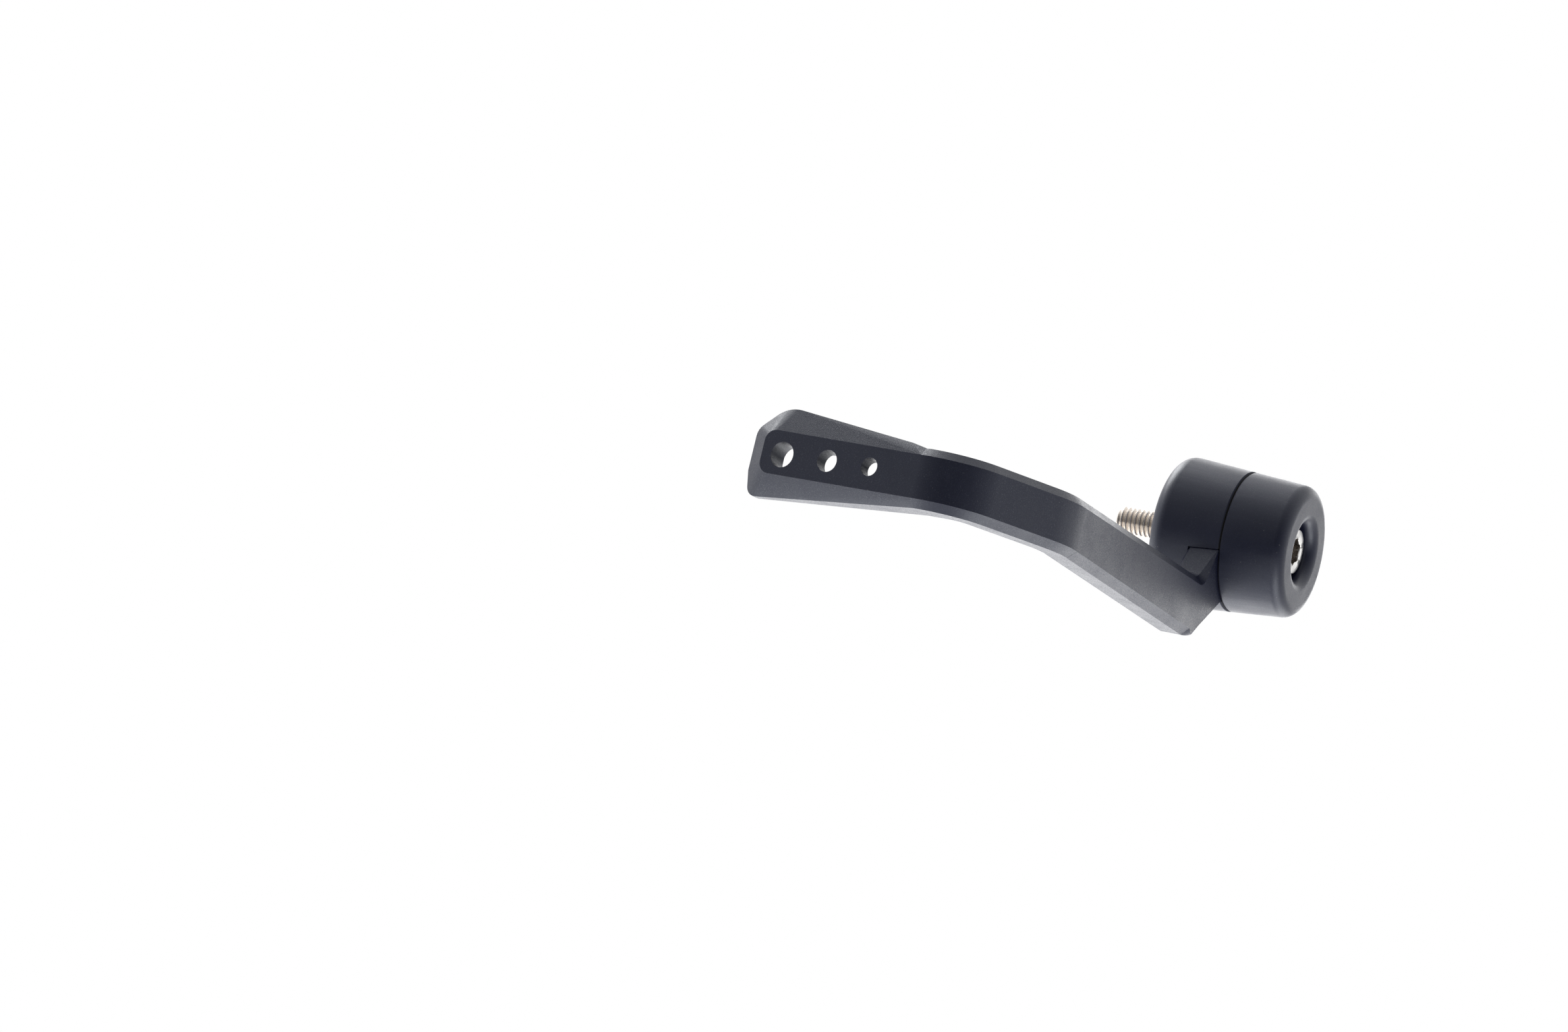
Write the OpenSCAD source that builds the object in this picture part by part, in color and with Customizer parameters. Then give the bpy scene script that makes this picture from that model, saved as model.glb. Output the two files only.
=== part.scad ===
// Brake lever guard for the right-hand end of a motorcycle handlebar.
// Four separate pieces: inner bar-end weight, guard arm, outer bar-end weight and clamp screw.
// Frame in mm: origin at the centre of the face that seats on the end of the handlebar,
// +X outboard along the screw, -Y forward along the arm, +Z up.

/* [Name] */
// Piece to show

/* [Bar-end weights] */
// Radius of the weights at the handlebar face, before the edge is rounded
hub_r = 15.6; // [14.6:0.1:16.6]
// Radius lost for each mm of length
hub_taper = 0.075; // [0.03:0.005:0.1]
// Distance of the joint between the two weights from the handlebar face
joint_x = 15.55; // [14.5:0.05:17]
// Full length of the two weights together
hub_len = 28.8; // [28:0.1:31]
// Rounding of the inner edge
inner_edge_r = 3.1; // [1.5:0.1:4]
// Rounding of the outer edge
outer_edge_r = 2.6; // [1.5:0.1:3.5]
// Chamfer on both sides of the joint
joint_chamfer = 0.35; // [0.2:0.05:0.8]
// Radius of the bell-mouth rim in the outer face
mouth_r = 8.05; // [7.2:0.05:9]
// Radius of the bore round the screw head
head_bore_r = 5.8; // [5.5:0.05:6.4]

/* [Clamp screw] */
// Nominal diameter of the screw
screw_d = 6; // [5:0.5:6]
// Diameter of the screw head
head_d = 9.8; // [9:0.1:10.4]
// Height of the screw head
head_h = 6; // [5:0.1:6.5]
// Size across the flats of the hexagon socket
hex_af = 5; // [4:0.5:5]
// Depth of the hexagon socket
hex_depth = 3; // [2:0.1:3.5]
// How far the head sits under the outer face
head_sunk = 1.9; // [1:0.1:3]
// Length of thread that reaches into the handlebar
thread_out = 11.6; // [8:0.1:20]

/* [Guard arm] */
// Thickness of the arm
arm_t = 6.35; // [5.6:0.05:6.6]
// Chamfer along the outer edges of the arm
arm_chamfer = 1.6; // [1:0.1:1.9]
// Chamfer along the inner edges of the arm
inner_chamfer = 0.45; // [0.2:0.05:0.6]
// Height of the arm at the knee and round the bend
arm_h = 11.45; // [10.6:0.05:12]
// Height of the arm next to the weights
root_h = 12.3; // [12.1:0.05:12.8]
// Distance of the knee in front of the screw
knee_y = 105.65; // [90:0.05:115]
// Distance of the knee outboard of the handlebar face
knee_x = 19.24; // [17:0.01:20]
// Outer radius of the bend into the front plate
bend_r = 13; // [11:0.5:14]
// Outer radius of the knee
knee_r = 19; // [14:1:24]
// Rounding of the valley above the arm next to the weights
valley_r = 3; // [1.5:0.1:3.5]
// Rounding of the heel below the weights
heel_r = 3.5; // [2:0.1:5]
// Height of the channel inside the arm
channel_h = 4.8; // [4:0.1:6]
// Wall left between the channel and the outer face
wall = 3.1; // [2.6:0.1:4]

/* [Front plate] */
// Diameter of the hole nearest the tip
hole_d1 = 4.9; // [3:0.1:5.2]
// Diameter of the middle hole
hole_d2 = 4.2; // [3:0.1:5]
// Diameter of the hole nearest the bend
hole_d3 = 3.5; // [2.5:0.1:4.4]

/* [Hidden] */
$fn = 96;
satin_black = [0.07, 0.07, 0.08];
steel = [0.72, 0.71, 0.69];

// side play between the arm's root and its pocket, and between screw and bores
play = 0.15;
bolt_play = 0.3;

// the shank inside the weights is waisted: its radius is this much under the thread's
shank_step = 0.3;

// broken edge where the arm's outer chamfer has run out
edge_break = 0.15;

// overlap, and the small step, where two parts of the arm run into each other
lap = 0.2;
skin = 0.02;
far = 60;

// screw head
head_top_x = hub_len - head_sunk;
seat_x = head_top_x - head_h;

// ring of the arm between the weights, from its inner to its outer face
root_out = joint_x;
root_in = joint_x - arm_t;
ring_r = 9.4;

// the arm's centre line runs straight in side view and rises towards the front
tilt = 1.66;
line_z = -17.38;

// side view of the root, as [y, z] from the screw's axis
window_z = -3.9;
rise_top = [-13.7, window_z];
rise_ang = 54;
valley_y = -18.8;
heel = [-20.08, -22.99];
back_end = [1, -8.91];
hub_front = -15.7;

// inner radius of the bend
inner_r = 3.4;

// front plate seen from above: face, front edge of the outline, and back, each y = y0 + k * x
corner = [knee_x - 13.1, -knee_y - 27.38];
face_ang = 25.5;
plate_ang = 8.1;
plate_k = -tan(plate_ang);
edge_k = -0.175;
back_k = -0.052;
edge_y0 = corner[1] + 2.45;
back_y0 = corner[1] + 9.67;

// front plate seen from the front, as [x, z] from the centre line
land_tip = -36.8;
land_top = 4.6;
land_bot = -3.8;
tip_x = -40.17;
tip_top = 4.65;
tip_bot = -8.25;
crest = [-34.4, 9.7];
hole_x = [-32.4, -22.6, -13.5];
hole_z = [0.1, 0.25, 0.4];
hole_d = [hole_d1, hole_d2, hole_d3];
hole_tilt = 6.4;

function hub_radius(x) = hub_r - hub_taper * x;

// point [y, z] seen from the screw's axis, told in the frame of the arm's centre line
function loc(p) = [p[0] * cos(tilt) - (p[1] - line_z) * sin(tilt),
                   p[0] * sin(tilt) + (p[1] - line_z) * cos(tilt)];
module arm_frame() translate([0, 0, line_z]) rotate([-tilt, 0, 0]) children();

function unit(v) = v / norm(v);
// rounded corner b between a and c: points from tangent to tangent
function round_off(a, b, c, r, n) =
    let (u = unit(b - a), v = unit(c - b), turn = acos(u * v), t = r * tan(turn / 2),
         m = b + unit(v - u) * r / cos(turn / 2), s = b - u * t - m, e = b + v * t - m,
         a0 = atan2(s[1], s[0]), d0 = atan2(e[1], e[0]) - a0,
         d = d0 > 180 ? d0 - 360 : d0 < -180 ? d0 + 360 : d0)
    [for (i = [0 : n]) m + r * [cos(a0 + d * i / n), sin(a0 + d * i / n)]];
// quarter round as points [r, x] of a lathe profile, from angle a0 to a1
function arc(c, r, a0, a1, n) =
    [for (i = [0 : n]) c + r * [cos(a0 + (a1 - a0) * i / n), sin(a0 + (a1 - a0) * i / n)]];

// solid of revolution round the screw's axis from points [r, x]
module lathe(pts) rotate([0, 90, 0]) rotate_extrude() polygon(pts);
module rod(x0, x1, r) translate([x0, 0, 0]) rotate([0, 90, 0]) cylinder(h = x1 - x0, r = r);
// side view [y, z] pushed outboard from the plane x = 0
module side_on() rotate([90, 0, 90]) children();

// an outline (counterclockwise) in two runs of equal length, one there and one back, moved inwards
// by amt at each point; the edges that join the two runs stay
function inset(pts, amt) = let (n = len(pts), m = n / 2) [for (i = [0 : n - 1])
    let (b = pts[i], p = i % m == 0 ? 0 : amt[i], q = i % m == m - 1 ? 0 : amt[i],
         u = unit(b - pts[(i + n - 1) % n]), v = unit(pts[(i + 1) % n] - b), x = cross(u, v))
    abs(x) < 0.001 ? b + [-v[1], v[0]] * q : b + [p * v[0] - q * u[0], p * v[1] - q * u[1]] / x];
// outline lifted to height z, or to a height for each point
function lift(pts, z) =
    [for (i = [0 : len(pts) - 1]) [pts[i][0], pts[i][1], is_list(z) ? z[i] : z]];
function times(n, v) = [for (i = [1 : n]) v];

// solid through lifted outlines of the same number of points, its ends closed with strips
module stack(rings) {
    n = len(rings[0]);
    m = n / 2;
    top = (len(rings) - 1) * n;
    polyhedron(
        points = [for (r = rings) for (p = r) p],
        faces = concat([for (i = [0 : m - 2]) [i, i + 1, n - 2 - i, n - 1 - i]],
            [for (i = [0 : m - 2]) [top + i, top + n - 1 - i, top + n - 2 - i, top + i + 1]],
            [for (k = [0 : len(rings) - 2]) for (i = [0 : n - 1])
                [k * n + i, (k + 1) * n + i, (k + 1) * n + (i + 1) % n, k * n + (i + 1) % n]]));
}

module inner_weight() {
    q = inner_edge_r;
    k = atan(hub_taper);
    c = [hub_r - hub_taper * q - q / cos(k), q];
    color(satin_black)
    difference() {
        lathe(concat([[0, 0]], arc(c, q, -90, k, 8),
            [[hub_radius(joint_x - joint_chamfer), joint_x - joint_chamfer],
             [hub_radius(joint_x) - joint_chamfer, joint_x], [0, joint_x]]));
        rod(-1, joint_x + 1, screw_d / 2 + bolt_play);
        rod(root_in, joint_x + 1, ring_r + play);
        translate([root_in, 0, 0]) side_on() linear_extrude(arm_t + 1) window_outline();
    }
}

// opening in the inner weight for the root of the arm
module window_outline() {
    k = (back_end[1] - heel[1]) / (back_end[0] - heel[0]);
    low = back_end[1] - play * sqrt(1 + k * k);
    top = window_z + play;
    reach = hub_r + 5;
    polygon([[-8, top], [rise_top[0] - play * tan(rise_ang / 2), top],
             [-reach, top - (reach + rise_top[0]) * tan(rise_ang)],
             [-reach, low - k * (back_end[0] + reach)], [back_end[0], low]]);
}

module outer_weight() {
    q = outer_edge_r;
    k = atan(hub_taper);
    h = hub_len;
    c = [hub_r - hub_taper * (h - q) - q / cos(k), h - q];
    bell = mouth_r - head_bore_r;
    color(satin_black)
    lathe(concat([[screw_d / 2 + bolt_play, joint_x],
                  [hub_radius(joint_x) - joint_chamfer, joint_x],
                  [hub_radius(joint_x + joint_chamfer), joint_x + joint_chamfer]],
                 arc(c, q, k, 90, 8), arc([mouth_r, h - bell], bell, 90, 180, 8),
                 [[head_bore_r, seat_x], [screw_d / 2 + bolt_play, seat_x]]));
}

module clamp_screw() {
    color(steel)
    difference() {
        union() {
            rod(seat_x, head_top_x - 0.5, head_d / 2);
            translate([head_top_x - 0.5, 0, 0]) rotate([0, 90, 0])
                cylinder(h = 0.5, r1 = head_d / 2, r2 = head_d / 2 - 0.5);
            rod(-thread_out + 0.6, 0, screw_d / 2);
            rod(0, seat_x, screw_d / 2 - shank_step);
            translate([-thread_out, 0, 0]) rotate([0, 90, 0])
                cylinder(h = 0.6, r1 = screw_d / 2 - 0.6, r2 = screw_d / 2);
        }
        translate([head_top_x - hex_depth, 0, 0]) rotate([0, 90, 0]) rotate([0, 0, 30])
            cylinder(h = hex_depth + 1, r = hex_af / 2 / cos(30), $fn = 6);
    }
}

// corners of the path seen from above, and where its bends start and end
lean = atan((knee_x - root_out) / (knee_y - 15.5));
knee = [knee_x, -knee_y];
along_blade = [sin(lean), -cos(lean)];
along_face = [-sin(face_ang), -cos(face_ang)];
along_plate = [-cos(plate_ang), sin(plate_ang)];
in_face = [-cos(face_ang), sin(face_ang)];
in_plate = [sin(plate_ang), cos(plate_ang)];
knee_len = knee_r * tan((lean + face_ang) / 2);
bend_turn = 90 + plate_ang - face_ang;
bend_len = bend_r * tan(bend_turn / 2);
knee_end = knee + along_face * knee_len;
knee_c = knee_end + in_face * knee_r;
bend_start = corner - along_face * bend_len;
bend_c = bend_start + in_face * bend_r;
bend_end = corner + along_plate * bend_len;

function back_y(x) = back_y0 + back_k * x;
// side view of blade and root in two runs: from the weights forward along the top, and back
// along the bottom; lengths along the blade are stretched by s from y0
function fit(pts, y0, s) = [for (p = pts) [(p[0] - y0) * s, p[1]]];
function top_run() =
    let (rise = loc(rise_top), low = [valley_y, root_h / 2],
         end = [-knee_y + knee_len + 0.5, arm_h / 2 + 0.015])
    concat([loc([-8, window_z]), rise], round_off(rise, low, end, valley_r, 7), [end]);
function bottom_run() =
    let (start = [-knee_y + knee_len + 0.5, -arm_h / 2 - 0.015], end = loc(back_end))
    concat([start], round_off(start, loc(heel), end, heel_r, 8), [end]);

// its outer chamfer at each point: full along the blade, run out up the back and up the rise
function side_chamfer() = let (c = arm_chamfer, e = edge_break) concat(
    [c], [for (i = [0 : 8]) c + (e - c) * i / 8], [e, e, e],
    [for (i = [0 : 7]) c * (0.8 + 0.2 * i / 7)], [c]);

module side_plate(y0, s) {
    pts = concat(fit(bottom_run(), y0, s), fit(top_run(), y0, s));
    c = side_chamfer();
    d = times(len(pts), inner_chamfer);
    stack([lift(inset(pts, d), -arm_t), lift(pts, inner_chamfer - arm_t), lift(pts, -c),
           lift(inset(pts, c), 0)]);
}

module blade() intersection() {
    translate([knee[0], knee[1], 0]) rotate([0, 0, lean]) side_on()
        side_plate(-knee_y, 1 / cos(lean));
    translate([-far, -2 * far, -far]) cube([2 * far, 2 * far + hub_front + 0.02, 2 * far]);
}

module root() intersection() {
    translate([root_out, 0, 0]) side_on() side_plate(0, 1);
    translate([-far, hub_front, -far]) cube([2 * far, far, 2 * far]);
}

// bend, corner face and knee, seen from above
function swing(c, r, a0, turn, n) =
    [for (i = [0 : n]) c + r * [cos(a0 + turn * i / n), sin(a0 + turn * i / n)]];

module bend() {
    h = arm_h / 2;
    in_blade = [-cos(lean), -sin(lean)];
    start = knee - along_blade * (knee_len + 1.5);
    outer = concat(swing(bend_c, bend_r, -90 - plate_ang, bend_turn, 12),
                   swing(knee_c, knee_r, -face_ang, lean + face_ang, 5),
                   [start + in_blade * skin]);
    // inner side: back of the plate, inner corner, inner side of the corner face, knee
    back = [bend_end[0] + 1.2, back_y(bend_end[0] + 1.2)];
    face_in = knee_end + in_face * arm_t;
    k = along_face[0] / along_face[1];
    cy = (back_y0 + back_k * (face_in[0] - k * face_in[1])) / (1 - back_k * k);
    inner = [face_in[0] + k * (cy - face_in[1]), cy];
    inner_side = concat([start + in_blade * (arm_t - skin)],
                        swing(knee_c, knee_r - arm_t, lean, -lean - face_ang, 5),
                        round_off(face_in, inner, back, inner_r, 11), [back]);
    pts = concat(outer, inner_side);
    m = len(outer);
    c = arm_chamfer;
    d = inner_chamfer;
    full = inset(pts, concat(times(m, c), times(m, d)));
    part = inset(pts, concat(times(m, c - d), times(m, 0)));
    stack([lift(full, -h), lift(part, d - h), lift(pts, c - h),
           lift(pts, h - c), lift(part, h - d), lift(full, h)]);
}

// front-view outline pts as a slab d thick behind the slanted plane y = y0 + k * x
module slab(y0, k, pts, d)
    multmatrix([[1, 0, 0, 0], [k, 0, 1, y0], [0, 1, 0, 0], [0, 0, 0, 1]])
        linear_extrude(d) polygon(pts);

function land_outline() =
    let (x = bend_end[0], h = arm_h / 2 - arm_chamfer - skin,
         p = [[x + lap, -h], [x + lap, h], [land_tip, land_top], [land_tip, land_bot]])
    concat([p[0], p[1]], round_off(p[1], p[2], p[3], 2.2, 6), round_off(p[2], p[3], p[0], 2.2, 6));

function plate_outline(x, g) =
    let (h = arm_h / 2 - skin - g, t = tip_x + g,
         p = [[x + lap, -h], [x + lap, h], [x - 2.9, h + 0.65], crest - [0, g],
              [t, tip_top - g / 2], [t, -3.4], [tip_x + 1 + g, tip_bot + g]])
    concat([for (i = [0 : 2]) p[i]], round_off(p[2], p[3], p[4], 6.5 - g, 7),
           round_off(p[3], p[4], p[5], 3, 4), [p[5]], round_off(p[5], p[6], p[0], 2 - g, 5));

// front plate: flat face, sloping facets all round, flat back
module plate() hull() {
    x = bend_end[0];
    slab(corner[1] - plate_k * corner[0] + skin, plate_k, land_outline(), 0.5);
    slab(edge_y0, edge_k, plate_outline(x, 0), 0.5);
    slab(back_y0 - inner_chamfer - 0.5, back_k, plate_outline(x + 0.9, 0), 0.5);
    slab(back_y0 - skin - 0.3, back_k, plate_outline(x + 1, inner_chamfer), 0.3);
}

// channel milled into the inner side of plate, bend and blade
module channel() {
    h = channel_h / 2;
    r1 = bend_r - wall;
    r2 = knee_r - wall;
    a = 48;
    in_blade = [-cos(lean), -sin(lean)];
    end = knee - along_blade * a + in_blade * wall;
    floor_pts = [[-34.4, -122.2], [-32.4, -123.45], [-22.6, -125.95], [-13.5, -127.3]];
    bend_pts = [for (i = [0 : 9]) bend_c + r1 * [cos(-90 - plate_ang + bend_turn * i / 9),
                                                 sin(-90 - plate_ang + bend_turn * i / 9)]];
    knee_pts = [for (i = [0 : 4]) knee_c + r2 * [cos(-face_ang + (lean + face_ang) * i / 4),
                                                 sin(-face_ang + (lean + face_ang) * i / 4)]];
    dx = corner[0] - 6.14;
    dy = corner[1] + 133.03;
    translate([0, 0, -h + skin]) linear_extrude(2 * h - 2 * skin)
        polygon(concat([for (p = floor_pts) p + [0, dy]], bend_pts, knee_pts,
            [end, end + in_blade * 8, [0, -112 + dy], [-34.4, -112 + dy]]));
    translate([end[0], end[1], 0]) rotate([0, 0, lean]) rotate([0, -90, 0]) cylinder(h = 8, r = h);
}

module plate_hole(i) {
    x = hole_x[i];
    y = corner[1] + plate_k * (x - corner[0]);
    translate([x, y, hole_z[i]]) rotate([0, 0, -plate_ang]) rotate([-90 - hole_tilt, 0, 0])
        translate([0, 0, -2]) cylinder(h = 14, d = hole_d[i]);
}

module guard_arm() {
    color(satin_black)
    difference() {
        union() {
            rod(root_in + skin, root_out - skin, ring_r);
            arm_frame() {
                root();
                blade();
                bend();
                plate();
            }
        }
        rod(root_in - 1, root_out + 1, screw_d / 2 + bolt_play);
        arm_frame() {
            channel();
            for (i = [0 : 2]) plate_hole(i);
        }
    }
}

inner_weight();
guard_arm();
outer_weight();
clamp_screw();
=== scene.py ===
# Brake lever guard: finishes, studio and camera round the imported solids.
# Everything is in metres, in the frame of the CAD part: +X outboard along the clamp screw,
# -Y forward along the guard arm, +Z up.
import math

import bmesh
import bpy
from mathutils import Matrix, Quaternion, Vector


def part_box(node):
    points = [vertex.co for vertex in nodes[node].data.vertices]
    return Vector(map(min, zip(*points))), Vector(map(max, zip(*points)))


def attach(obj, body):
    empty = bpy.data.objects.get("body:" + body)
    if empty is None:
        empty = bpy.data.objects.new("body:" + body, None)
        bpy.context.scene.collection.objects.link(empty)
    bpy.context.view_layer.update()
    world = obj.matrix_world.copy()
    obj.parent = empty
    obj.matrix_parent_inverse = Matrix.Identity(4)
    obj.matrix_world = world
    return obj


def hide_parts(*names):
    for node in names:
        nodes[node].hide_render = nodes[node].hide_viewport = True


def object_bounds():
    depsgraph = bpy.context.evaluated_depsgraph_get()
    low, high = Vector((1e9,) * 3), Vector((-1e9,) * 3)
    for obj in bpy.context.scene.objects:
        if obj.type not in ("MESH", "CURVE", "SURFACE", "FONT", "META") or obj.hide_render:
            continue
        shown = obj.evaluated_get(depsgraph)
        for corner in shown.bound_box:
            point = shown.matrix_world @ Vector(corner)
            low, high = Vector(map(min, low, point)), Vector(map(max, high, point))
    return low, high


MM = 0.001

# Camera: a long lens from ahead, outboard and a little below, rolled as in the photograph.
CAMERA_AT = Vector((0.4098, -1.1229, -0.1256))
CAMERA_AIM = Vector((-0.4018, 0.9111, 0.0922))
CAMERA_ROLL = math.radians(12.9)
FOCAL_PX = 8898.4
PHOTO_WIDTH_PX = 2380
SENSOR_WIDTH = 36.0

# Machined pieces: the rounding of their edges, which catches the light, and the steps between
# facets that are closed first.
ARM_EDGE = 0.16 * MM
ARM_WELD = 0.03 * MM
WEIGHT_EDGE = 0.1 * MM
WEIGHT_WELD = 0.002 * MM
EDGE_ANGLE = math.radians(24)
FLAT_ANGLE = math.radians(0.6)

# Parting plane of the two weights, and how far its line of painted shade and its dull band reach
# from it, each as (full, gone).
JOINT_X = 15.55 * MM
JOINT_SHADE_LINE = (0.18 * MM, 0.26 * MM)
JOINT_BAND = (0.42 * MM, 0.50 * MM)

# Clamp screw: head and socket have the solid's sizes. The socket also ends in a drill point, and
# the shank's core ends in the bore, where the thread's hidden turns go on.
RING_POINTS = 96
HEAD_HEIGHT = 6.0 * MM
HEAD_CHAMFER = 0.5 * MM
HEX_HALF_WIDTH = 2.5 * MM
HEX_DEPTH = 3.0 * MM
DRILL_POINT = 0.9 * MM
CORE_END = 0.5 * MM

# Cut thread, just inside the plain cylinder of the solid. Its helix starts LEAD_IN pitches before
# the tip, where it is cut off flat.
PITCH = 1.0 * MM
THREAD_MAJOR = 2.96 * MM
THREAD_MINOR = 2.42 * MM
CREST_ROUND = 0.03 * MM
CORE_RADIUS = THREAD_MAJOR - 0.05 * MM
TIP_RADIUS = THREAD_MAJOR - 0.62 * MM
LEAD_IN = 0.9
HIDDEN_TURNS = 2
THREAD_WELD = 0.001 * MM
SHARP_ANGLE = math.radians(28)

# Noises, in features a metre, and the span that holds most of their values.
GRAIN_SCALE = 4400.0
SPECK_SCALE = 1500.0
BLOTCH_SCALE = 160.0
TURNING_SCALE = 7000.0
SMUDGE_SCALE = 420.0
NOISE_SPAN = (0.3, 0.7)

# Roughness over the span of the noise that drives it, the black's index of refraction, and the
# depth of the bumps.
BLACK_ROUGH = (0.36, 0.44)
GRAIN_ROUGH = (0.16, -0.14)
JOINT_ROUGH = 0.85
STEEL_ROUGH = (0.2, 0.32)
TURNING_ROUGH = (-0.04, 0.06)
BLACK_IOR = 1.55
GRAIN_DEPTH = 0.045 * MM
TURNING_DEPTH = 0.02 * MM

# Colours of the anodised black and of the steel.
DYE_DEEP = (0.0030, 0.0045, 0.0200, 1)
DYE_THIN = (0.0060, 0.0076, 0.0250, 1)
# painted glint: the lighter colour of the grain's flecks
GRAIN_GLINT = (0.045, 0.050, 0.068, 1)
DUST = (0.075, 0.077, 0.085, 1)
# painted shade: the black of the groove at the weights' parting plane
JOINT_SHADE_BLACK = (0.001, 0.001, 0.002, 1)
BLACK_SHEEN = (0.90, 0.94, 1.0, 1)
STEEL_HEAD = ((0.86, 0.85, 0.83, 1), (0.93, 0.92, 0.90, 1))
STEEL_THREAD = ((0.74, 0.67, 0.60, 1), (0.86, 0.79, 0.72, 1))
# painted shade: the darker steel inside the socket and on the head's side
STEEL_SOCKET_SHADE = (0.42, 0.39, 0.36, 1)

# Studio: the floor, the world's light, the dim room behind the camera, and the lamps.
FLOOR_HEIGHT = -1.2
FLOOR_RADIUS = 3.0
FLOOR_PALE = (0.8, 0.8, 0.8, 1)
WHITE = (1, 1, 1, 1)
WORLD_LIGHT = 0.45
ROOM_LEVEL = 0.12
ROOM_FACING = (-0.1, 0.96)
LAMP_DISTANCE = 1.2
LAMP_SIZE = 0.62

# Where each lamp stands, seen from the object, and its strength.
LAMPS = [
    ("over_left", (-0.64, 0.32, 0.70), 8.3),
    ("high_left", (-0.88, -0.27, 0.40), 0.8),
    ("low_left", (-0.68, -0.07, -0.73), 4.3),
    ("under_left", (-0.40, 0.57, -0.72), 2.6),
    ("behind", (-0.04, 0.98, 0.17), 2.5),
    ("under_behind", (0.15, 0.80, -0.58), 2.2),
    ("side_left", (-0.85, 0.34, -0.40), 2.0),
    ("under_right", (0.61, -0.06, -0.79), 3.4),
    ("below", (0.38, 0.40, -0.83), 1.8),
    ("over_behind", (-0.44, 0.78, 0.45), 1.5),
    ("low_behind", (-0.31, 0.91, -0.28), 1.3),
    ("far_left", (-0.95, -0.24, -0.21), 1.0),
    ("under", (-0.17, 0.17, -0.97), 0.7),
]

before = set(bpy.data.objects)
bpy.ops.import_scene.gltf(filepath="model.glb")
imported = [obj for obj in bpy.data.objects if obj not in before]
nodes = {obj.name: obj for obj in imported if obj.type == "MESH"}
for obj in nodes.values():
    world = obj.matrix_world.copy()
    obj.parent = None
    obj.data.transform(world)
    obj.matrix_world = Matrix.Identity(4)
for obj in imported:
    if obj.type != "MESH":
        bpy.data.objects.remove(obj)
cad_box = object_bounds()
scene = bpy.context.scene


# Materials

def add(tree, kind, inputs=(), **settings):
    """A shader node with its settings, and its inputs as (socket, value or output socket)."""
    node = tree.nodes.new("ShaderNode" + kind)
    for name, value in settings.items():
        setattr(node, name, value)
    for socket, value in inputs:
        if isinstance(value, bpy.types.NodeSocket):
            tree.links.new(value, node.inputs[socket])
        else:
            node.inputs[socket].default_value = value
    return node


def noise(tree, where, scale, detail=2.0, rough=0.5):
    """Noise with features 1/scale metres across."""
    node = add(tree, "TexNoise",
               [("Vector", where), ("Scale", scale), ("Detail", detail), ("Roughness", rough)])
    return node.outputs["Fac"]


def ramp(tree, value, low, high, out_low=0.0, out_high=1.0):
    """value from low..high mapped to out_low..out_high, clamped."""
    node = add(tree, "MapRange", [("Value", value), ("From Min", low), ("From Max", high),
                                  ("To Min", out_low), ("To Max", out_high)])
    return node.outputs["Result"]


def math_node(tree, operation, a, b):
    """The value of one arithmetic step."""
    return add(tree, "Math", [(0, a), (1, b)], operation=operation).outputs[0]


def mix_colour(tree, fac, a, b):
    """Colour a where fac is 0, b where it is 1."""
    # sockets 6, 7 and output 2 are the ones that hold colours
    return add(tree, "Mix", [("Factor", fac), (6, a), (7, b)], data_type="RGBA").outputs[2]


def principled(name):
    """A new material, its node tree and its shader."""
    material = bpy.data.materials.new(name)
    material.use_nodes = True
    return material, material.node_tree, material.node_tree.nodes["Principled BSDF"]


def satin_black(name, coarse, joint=False):
    """Black anodised aluminium: bead-blasted grain with painted glints on its flecks, more of it
    where coarse is near 1, soft blotches and a little dust.

    With joint, the line at the weights' parting plane is painted black, as shade in its groove,
    and its chamfers are dull.
    """
    material, tree, shader = principled(name)
    where = add(tree, "TexCoord").outputs["Object"]
    grain = noise(tree, where, GRAIN_SCALE, 2.0, 0.7)
    blotch = noise(tree, where, BLOTCH_SCALE, 4.0, 0.6)
    speck = noise(tree, where, SPECK_SCALE)

    dye = mix_colour(tree, blotch, DYE_DEEP, DYE_THIN)
    # painted glints: the grain's flecks are lighter than the dye
    glint = mix_colour(tree, ramp(tree, grain, 0.56, 0.72, 0.0, coarse), dye, GRAIN_GLINT)
    colour = mix_colour(tree, ramp(tree, speck, 0.74, 0.80), glint, DUST)
    rough = math_node(tree, "ADD", ramp(tree, blotch, *NOISE_SPAN, *BLACK_ROUGH),
                      ramp(tree, grain, *NOISE_SPAN, *(coarse * r for r in GRAIN_ROUGH)))
    if joint:
        along = add(tree, "SeparateXYZ", [(0, where)]).outputs[0]
        off = math_node(tree, "ABSOLUTE", math_node(tree, "SUBTRACT", along, JOINT_X), 0.0)
        rough = math_node(tree, "MAXIMUM", rough,
                          ramp(tree, off, *JOINT_BAND, JOINT_ROUGH, 0.0))
        # painted shade: the groove at the parting plane is coloured black
        colour = mix_colour(tree, ramp(tree, off, *JOINT_SHADE_LINE, 1.0, 0.0), colour, JOINT_SHADE_BLACK)
    tree.links.new(colour, shader.inputs["Base Color"])
    tree.links.new(rough, shader.inputs["Roughness"])

    bump = add(tree, "Bump", [("Strength", 0.8), ("Distance", GRAIN_DEPTH * coarse),
                              ("Height", grain)])
    tree.links.new(bump.outputs[0], shader.inputs["Normal"])
    shader.inputs["IOR"].default_value = BLACK_IOR
    shader.inputs["Specular Tint"].default_value = BLACK_SHEEN
    return material


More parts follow.
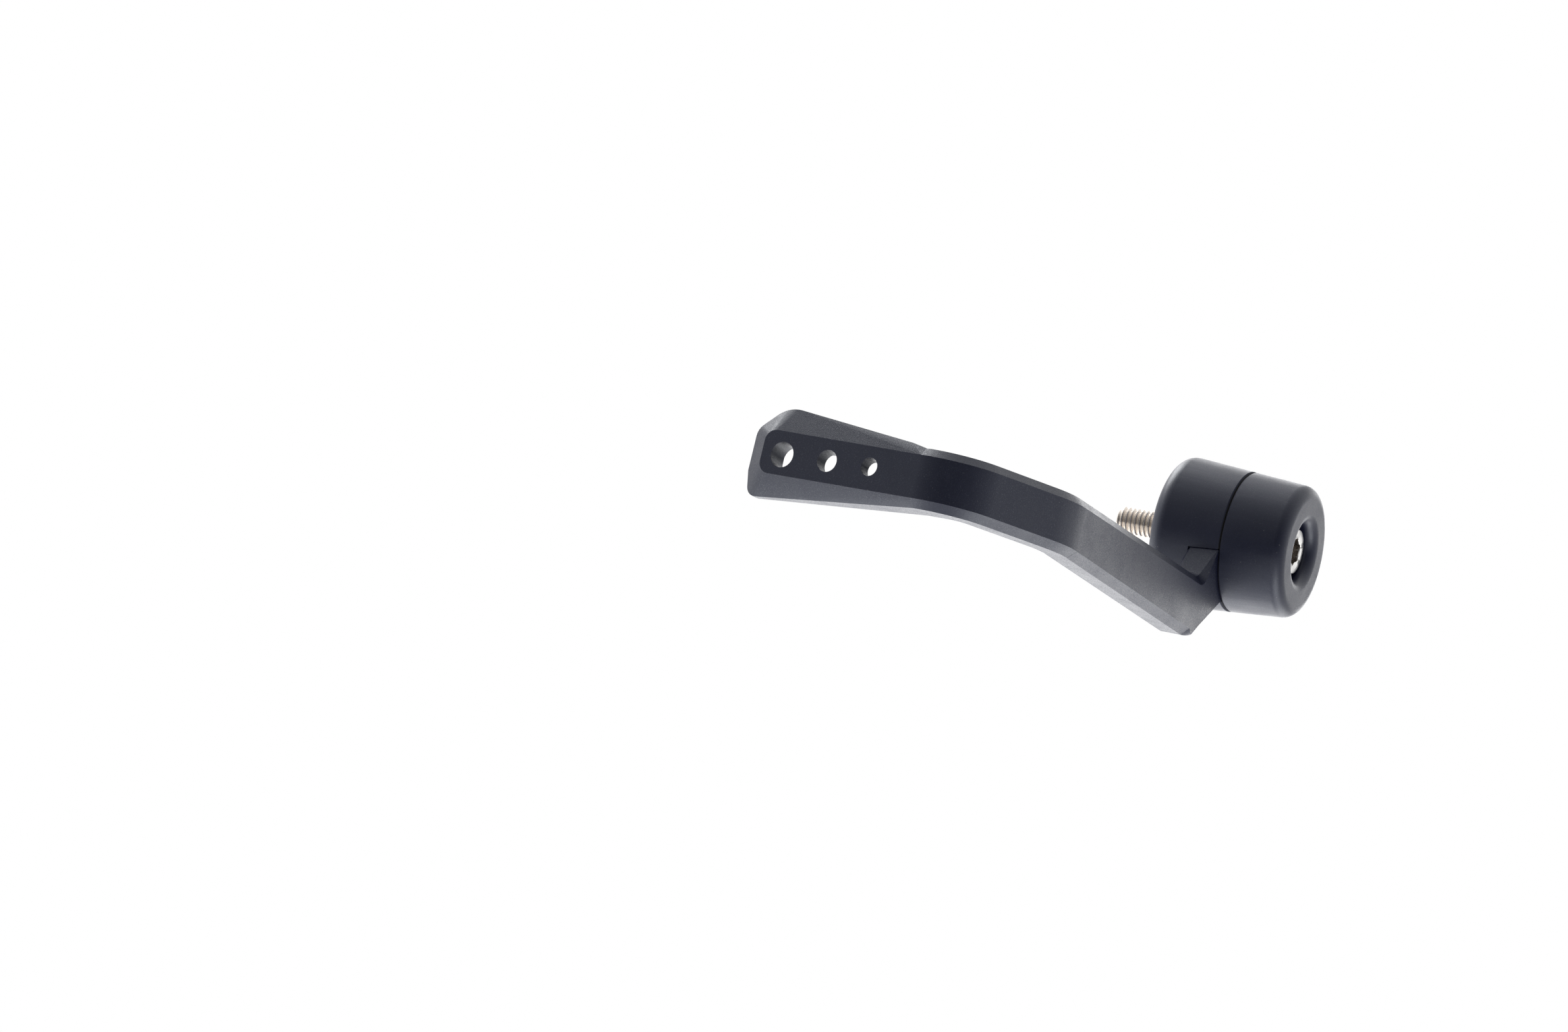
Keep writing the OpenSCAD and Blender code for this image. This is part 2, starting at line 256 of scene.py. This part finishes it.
def bright_steel(name, top):
    """Plain stainless steel with fine turning marks round the axis; the head ends at x = top."""
    material, tree, shader = principled(name)
    where = add(tree, "TexCoord").outputs["Object"]
    x, y, z = add(tree, "SeparateXYZ", [(0, where)]).outputs
    radius = math_node(tree, "POWER", math_node(
        tree, "ADD", math_node(tree, "POWER", y, 2.0), math_node(tree, "POWER", z, 2.0)), 0.5)
    turned = add(tree, "CombineXYZ", [(0, x), (1, radius)]).outputs[0]
    marks = noise(tree, turned, TURNING_SCALE)
    smudge = noise(tree, where, SMUDGE_SCALE, 4.0, 0.6)

    # the thread is a shade warmer than the head; painted shade darkens the socket inside and the
    # head's side
    head = mix_colour(tree, smudge, *STEEL_HEAD)
    thread = mix_colour(tree, smudge, *STEEL_THREAD)
    inside = mix_colour(tree, ramp(tree, x, 0.0, 10 * MM), thread, STEEL_SOCKET_SHADE)
    colour = mix_colour(tree, ramp(tree, x, top - 0.5 * MM, top - 0.2 * MM), inside, head)
    rough = math_node(tree, "ADD", ramp(tree, smudge, *NOISE_SPAN, *STEEL_ROUGH),
                      ramp(tree, marks, *NOISE_SPAN, *TURNING_ROUGH))
    tree.links.new(colour, shader.inputs["Base Color"])
    tree.links.new(rough, shader.inputs["Roughness"])

    bump = add(tree, "Bump", [("Strength", 0.15), ("Distance", TURNING_DEPTH),
                              ("Height", marks)])
    tree.links.new(bump.outputs[0], shader.inputs["Normal"])
    shader.inputs["Metallic"].default_value = 1.0
    return material


# Pieces

def piece(name, mesh, material, slot_name, *replaced):
    """A new object with that mesh, riding on the body and standing for the CAD nodes."""
    made = bpy.data.objects.new(name, mesh)
    scene.collection.objects.link(made)
    mesh.materials.clear()
    mesh.materials.append(material)
    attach(made, "root")
    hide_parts(*replaced)
    return made


def finish_mesh(work, mesh):
    """The worked mesh written into mesh, with every face smooth."""
    for face in work.faces:
        face.smooth = True
    work.to_mesh(mesh)
    work.free()


def machined(name, node, material, slot_name, edge, weld):
    """A copy of a CAD node, steps under weld closed, its facets joined and its edges broken."""
    mesh = nodes[node].data.copy()
    work = bmesh.new()
    work.from_mesh(mesh)
    bmesh.ops.remove_doubles(work, verts=work.verts, dist=weld)
    bmesh.ops.dissolve_limit(work, angle_limit=FLAT_ANGLE, verts=work.verts, edges=work.edges)
    finish_mesh(work, mesh)
    # the normals that came with the solid don't fit the changed mesh
    if "custom_normal" in mesh.attributes:
        mesh.attributes.remove(mesh.attributes["custom_normal"])
    made = piece(name, mesh, material, slot_name, node)
    bevel = made.modifiers.new("edges", "BEVEL")
    bevel.width = edge
    bevel.segments = 3
    bevel.limit_method = "ANGLE"
    bevel.angle_limit = EDGE_ANGLE
    normals = made.modifiers.new("normals", "WEIGHTED_NORMAL")
    normals.weight = 100


def on_ring(x, radius, angle):
    """A point at that angle round the X axis."""
    return Vector((x, radius * math.cos(angle), radius * math.sin(angle)))


def circle(radius):
    """The same radius at every angle."""
    return lambda angle: radius


def hexagon(half_width, least=0.0):
    """The radius of a hexagon at an angle, nowhere under least."""
    def radius_at(angle):
        turn = (angle + math.pi / 6) % (math.pi / 3) - math.pi / 6
        return max(half_width / math.cos(turn), least)
    return radius_at


def add_core(work, x_top):
    """The closed core of the screw: socket, chamfered head and shank, as rings along X."""
    head_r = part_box("clamp_screw")[1].y
    land_r = head_r - HEAD_CHAMFER
    x_seat = x_top - HEAD_HEIGHT
    x_floor = x_top - HEX_DEPTH
    x_edge = x_top - HEAD_CHAMFER
    rings = [
        (circle(0.02 * MM), x_floor - DRILL_POINT),
        (circle(HEX_HALF_WIDTH * 0.96), x_floor),
        (hexagon(HEX_HALF_WIDTH - 0.02 * MM), x_floor + 0.01 * MM),
        (hexagon(HEX_HALF_WIDTH), x_top - 0.28 * MM),
        (hexagon(HEX_HALF_WIDTH, HEX_HALF_WIDTH + 0.16 * MM), x_top - 0.14 * MM),
        (circle(HEX_HALF_WIDTH + 0.44 * MM), x_top),
        (circle(land_r - 0.08 * MM), x_top),
        (circle(land_r + 0.04 * MM), x_top - 0.03 * MM),
        (circle(head_r - 0.05 * MM), x_edge + 0.02 * MM),
        (circle(head_r), x_edge - 0.12 * MM),
        (circle(head_r), x_seat + 0.1 * MM),
        (circle(head_r - 0.1 * MM), x_seat),
        (circle(CORE_RADIUS), x_seat),
        (circle(CORE_RADIUS), CORE_END),
    ]
    angles = [2 * math.pi * j / RING_POINTS for j in range(RING_POINTS)]
    rows = [[work.verts.new(on_ring(x, radius_at(angle), angle)) for angle in angles]
            for radius_at, x in rings]
    for a, b in zip(rows, rows[1:]):
        for j in range(RING_POINTS):
            k = (j + 1) % RING_POINTS
            work.faces.new((a[j], a[k], b[k], b[j]))
    work.faces.new(rows[0])
    work.faces.new(rows[-1])


def add_thread(work, x_tip):
    """The cut thread: one strip along the helix, held back to the tip and to its chamfer."""
    # one turn of it, as pitches along X and radius
    profile = [(0.0, THREAD_MINOR), (0.12, THREAD_MINOR), (0.46, THREAD_MAJOR - CREST_ROUND),
               (0.50, THREAD_MAJOR), (0.60, THREAD_MAJOR), (0.64, THREAD_MAJOR - CREST_ROUND)]
    last = (math.ceil(-x_tip / PITCH) + HIDDEN_TURNS) * RING_POINTS
    strip = []
    for m in range(last + 1):
        row = []
        for along, radius in profile:
            x = max(x_tip + PITCH * (m / RING_POINTS + along - LEAD_IN), x_tip)
            radius = min(radius, TIP_RADIUS + (x - x_tip))
            row.append(work.verts.new(on_ring(x, radius, 2 * math.pi * m / RING_POINTS)))
        strip.append(row)
    for m in range(last):
        for a in range(len(profile) - 1):
            work.faces.new((strip[m][a], strip[m + 1][a], strip[m + 1][a + 1], strip[m][a + 1]))
        # the root, from this turn's last point to the next turn's first
        turn = m + RING_POINTS
        if turn < last:
            work.faces.new((strip[m][-1], strip[m + 1][-1], strip[turn + 1][0], strip[turn][0]))
    bmesh.ops.remove_doubles(work, verts=work.verts, dist=THREAD_WELD)
    # the open ends of the helix: its flat tip, and the end that is hidden in the bore
    rims = [edge for edge in work.edges if len(edge.link_faces) == 1]
    bmesh.ops.holes_fill(work, edges=rims, sides=0)


def screw_mesh(x_tip, x_top):
    """Cap screw with a socket, a chamfered head, and a cut thread with a chamfered end."""
    work = bmesh.new()
    add_core(work, x_top)
    add_thread(work, x_tip)
    bmesh.ops.recalc_face_normals(work, faces=work.faces)
    mesh = bpy.data.meshes.new("clamp_screw_detail")
    finish_mesh(work, mesh)
    mesh.set_sharp_from_angle(angle=SHARP_ANGLE)
    return mesh


screw_low, screw_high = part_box("clamp_screw")
black_turned = satin_black("satin_black_turned", 0.35, joint=True)
black_milled = satin_black("satin_black_milled", 0.8)
steel = bright_steel("stainless_steel", screw_high.x)

machined("guard_arm_finish", "guard_arm", black_milled, "arm_black", ARM_EDGE, ARM_WELD)
machined("inner_weight_finish", "inner_weight", black_turned, "weight_black", WEIGHT_EDGE,
         WEIGHT_WELD)
machined("outer_weight_finish", "outer_weight", black_turned, "weight_black", WEIGHT_EDGE,
         WEIGHT_WELD)
piece("clamp_screw_finish", screw_mesh(screw_low.x, screw_high.x), steel, "screw_steel",
      "clamp_screw")


# Studio

def white_where_seen(tree, path, white, plain):
    """white for camera, glossy and transmission rays, plain for the rest."""
    seen = math_node(tree, "MAXIMUM", path.outputs["Is Camera Ray"],
                     math_node(tree, "MAXIMUM", path.outputs["Is Glossy Ray"],
                               path.outputs["Is Transmission Ray"]))
    return add(tree, "MixShader", [(0, seen), (1, plain), (2, white)]).outputs[0]


def studio_world():
    """White where the camera sees it, a white sweep with a dim room behind the camera where
    the object reflects it, and an even light for the rest."""
    world = bpy.data.worlds.new("studio")
    scene.world = world
    world.use_nodes = True
    tree = world.node_tree
    tree.nodes.clear()
    path = add(tree, "LightPath")
    towards = add(tree, "TexCoord").outputs["Generated"]
    facing = add(tree, "VectorMath", [(0, towards), (1, tuple(CAMERA_AT.normalized()))],
                 operation="DOT_PRODUCT").outputs["Value"]
    room = ramp(tree, facing, *ROOM_FACING, 1.0, ROOM_LEVEL)
    seen = math_node(tree, "MAXIMUM", room, path.outputs["Is Camera Ray"])
    grey = add(tree, "CombineColor", [(0, seen), (1, seen), (2, seen)]).outputs[0]
    white = add(tree, "Background", [("Color", grey), ("Strength", 1.0)]).outputs[0]
    plain = add(tree, "Background", [("Color", WHITE), ("Strength", WORLD_LIGHT)]).outputs[0]
    out = add(tree, "OutputWorld")
    tree.links.new(white_where_seen(tree, path, white, plain), out.inputs[0])


def floor():
    """A wide pale floor that is white where it is seen."""
    bpy.ops.mesh.primitive_circle_add(vertices=96, radius=FLOOR_RADIUS, fill_type="NGON",
                                      location=(0, 0, FLOOR_HEIGHT))
    made = bpy.context.object
    made.name = "floor"
    material = bpy.data.materials.new("floor_white")
    material.use_nodes = True
    tree = material.node_tree
    tree.nodes.clear()
    path = add(tree, "LightPath")
    white = add(tree, "Emission", [("Color", WHITE), ("Strength", 1.0)]).outputs[0]
    plain = add(tree, "BsdfDiffuse", [("Color", FLOOR_PALE)]).outputs[0]
    out = add(tree, "OutputMaterial")
    tree.links.new(white_where_seen(tree, path, white, plain), out.inputs["Surface"])
    made.data.materials.append(material)


def softbox(name, direction, strength, centre):
    """A square lamp that faces the object; strength is its energy over pi times its area."""
    lamp = bpy.data.lights.new(name, "AREA")
    lamp.shape = "SQUARE"
    lamp.size = LAMP_SIZE
    lamp.energy = strength * math.pi * LAMP_SIZE ** 2
    made = bpy.data.objects.new(name, lamp)
    scene.collection.objects.link(made)
    aim = Vector(direction).normalized()
    made.location = centre + aim * LAMP_DISTANCE
    made.rotation_mode = "QUATERNION"
    made.rotation_quaternion = aim.to_track_quat("Z", "Y")
    made.visible_camera = False


def photo_camera():
    """The camera of the photograph."""
    made = bpy.data.objects.new("camera", bpy.data.cameras.new("camera"))
    scene.collection.objects.link(made)
    made.location = CAMERA_AT
    made.rotation_mode = "QUATERNION"
    made.rotation_quaternion = (CAMERA_AIM.to_track_quat("-Z", "Y")
                                @ Quaternion((0, 0, 1), CAMERA_ROLL))
    made.data.sensor_width = SENSOR_WIDTH
    made.data.lens = FOCAL_PX * SENSOR_WIDTH / PHOTO_WIDTH_PX
    scene.camera = made


studio_world()
floor()
middle = (cad_box[0] + cad_box[1]) / 2
for lamp_name, towards, strength in LAMPS:
    softbox(lamp_name, towards, strength, middle)
photo_camera()
scene.view_settings.view_transform = "Standard"
